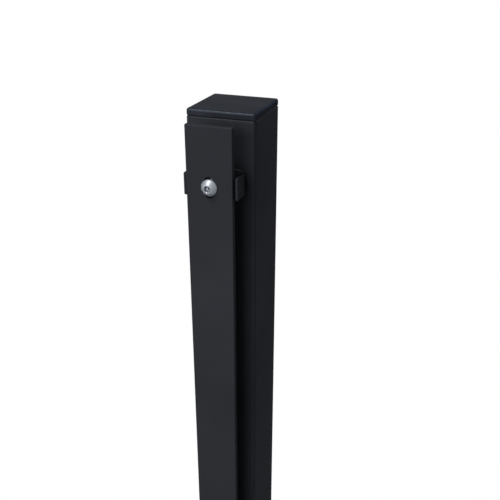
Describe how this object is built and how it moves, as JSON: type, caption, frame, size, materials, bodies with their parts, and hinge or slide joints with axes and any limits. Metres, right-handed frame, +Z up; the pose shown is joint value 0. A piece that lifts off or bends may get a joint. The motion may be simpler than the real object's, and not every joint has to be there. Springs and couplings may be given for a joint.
{
  "type": "metal fence post",
  "caption": "Square steel fence post with a flat cap and a screwed cover strip, whose brackets clamp the ends of two wire panels.",
  "frame": {"origin": "centre of the tube's open foot, at its end face", "axes": "+Z up along the tube; -Y points out through the cover strip to the panel side; X runs along the fence"},
  "size_m": [0.06, 0.0894, 1.506],
  "materials": {
    "coated_steel": "fine matt powder coat, anthracite",
    "cap_plastic": "satin moulded, anthracite",
    "stainless_steel": "bright, slightly satin",
    "zinc_steel": "zinc plated"
  },
  "bodies": {
    "root": {"post_tube": "coated_steel", "post_cap": "cap_plastic", "cover_strip": "coated_steel", "bracket_1": "coated_steel", "bracket_2": "coated_steel", "bracket_3": "coated_steel", "rivet_nut_1": "zinc_steel", "rivet_nut_2": "zinc_steel", "rivet_nut_3": "zinc_steel", "screw_1": "stainless_steel", "screw_2": "stainless_steel", "screw_3": "stainless_steel"}
  },
  "joints": []
}
